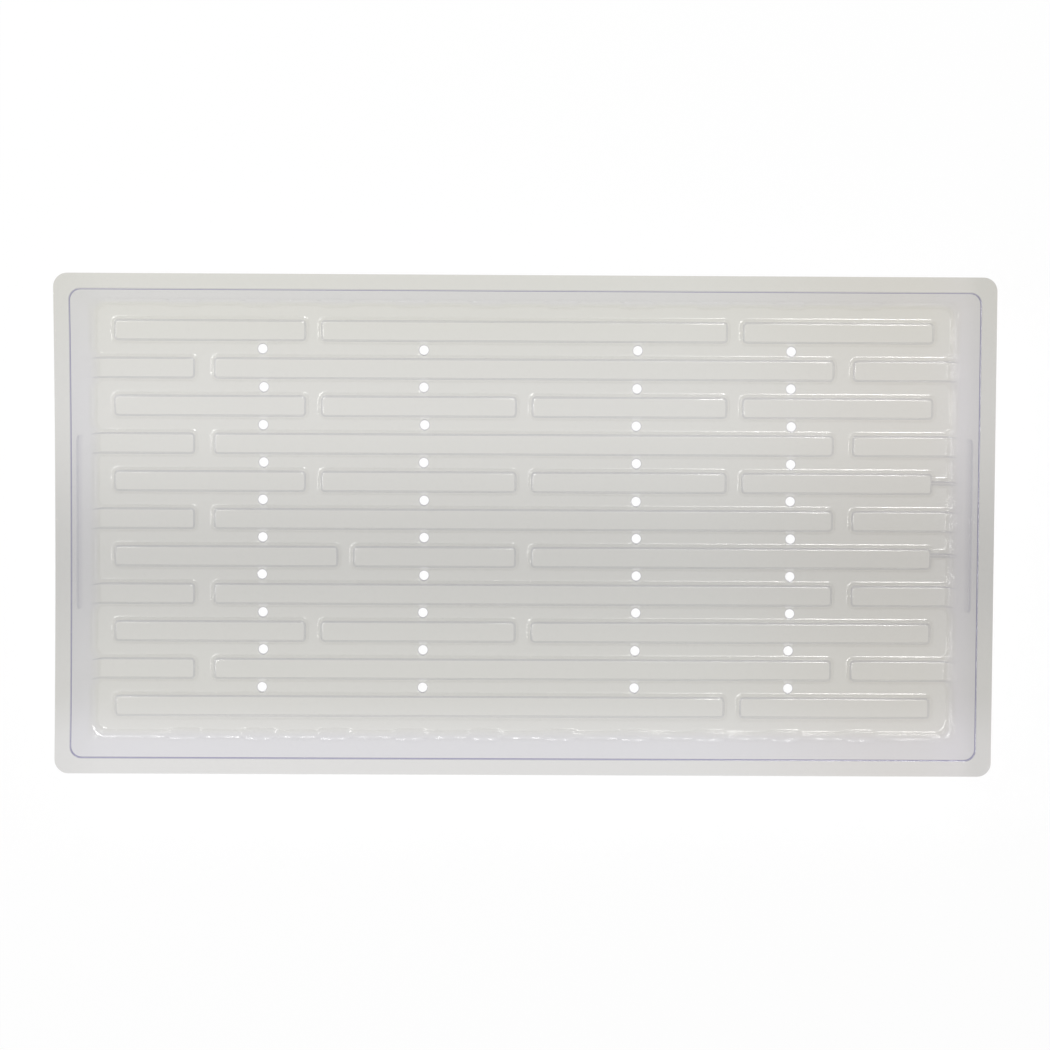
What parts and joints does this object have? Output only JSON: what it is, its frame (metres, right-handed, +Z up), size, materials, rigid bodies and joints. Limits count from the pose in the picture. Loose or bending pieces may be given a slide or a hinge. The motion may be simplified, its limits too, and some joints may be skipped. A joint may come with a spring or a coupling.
{
  "type": "sprouting tray",
  "caption": "Shallow clear plastic sprouting tray with a flat rim, fluted sloping walls and a floor of staggered raised bars with drain holes in the channels between them.",
  "frame": {"origin": "centre of the tray's footprint, at the underside of its floor", "axes": "+X along the length to the right end in the picture, +Y across the width to the back side wall, +Z up"},
  "size_m": [0.54, 0.288, 0.05],
  "materials": {
    "clear_sheet": "clear gloss"
  },
  "bodies": {
    "root": {"back_rim": "clear_sheet", "back_side_wall": "clear_sheet", "bar_row_01_a": "clear_sheet", "bar_row_01_b": "clear_sheet", "bar_row_01_c": "clear_sheet", "bar_row_02_a": "clear_sheet", "bar_row_03_a": "clear_sheet", "bar_row_03_b": "clear_sheet", "bar_row_03_c": "clear_sheet", "bar_row_03_d": "clear_sheet", "bar_row_04_a": "clear_sheet", "bar_row_05_a": "clear_sheet", "bar_row_05_b": "clear_sheet", "bar_row_05_c": "clear_sheet", "bar_row_05_d": "clear_sheet", "bar_row_06_a": "clear_sheet", "bar_row_07_a": "clear_sheet", "bar_row_07_b": "clear_sheet", "bar_row_07_c": "clear_sheet", "bar_row_08_a": "clear_sheet", "bar_row_09_a": "clear_sheet", "bar_row_09_b": "clear_sheet", "bar_row_09_c": "clear_sheet", "bar_row_10_a": "clear_sheet", "bar_row_11_a": "clear_sheet", "bar_row_11_b": "clear_sheet", "floor_web": "clear_sheet", "front_rim": "clear_sheet", "front_side_wall": "clear_sheet", "left_end_wall": "clear_sheet", "left_rim": "clear_sheet", "right_end_wall": "clear_sheet", "right_rim": "clear_sheet", "stub_row_02_left": "clear_sheet", "stub_row_02_right": "clear_sheet", "stub_row_04_left": "clear_sheet", "stub_row_04_right": "clear_sheet", "stub_row_06_left": "clear_sheet", "stub_row_06_right": "clear_sheet", "stub_row_08_left": "clear_sheet", "stub_row_08_right": "clear_sheet", "stub_row_10_left": "clear_sheet", "stub_row_10_right": "clear_sheet"}
  },
  "joints": []
}
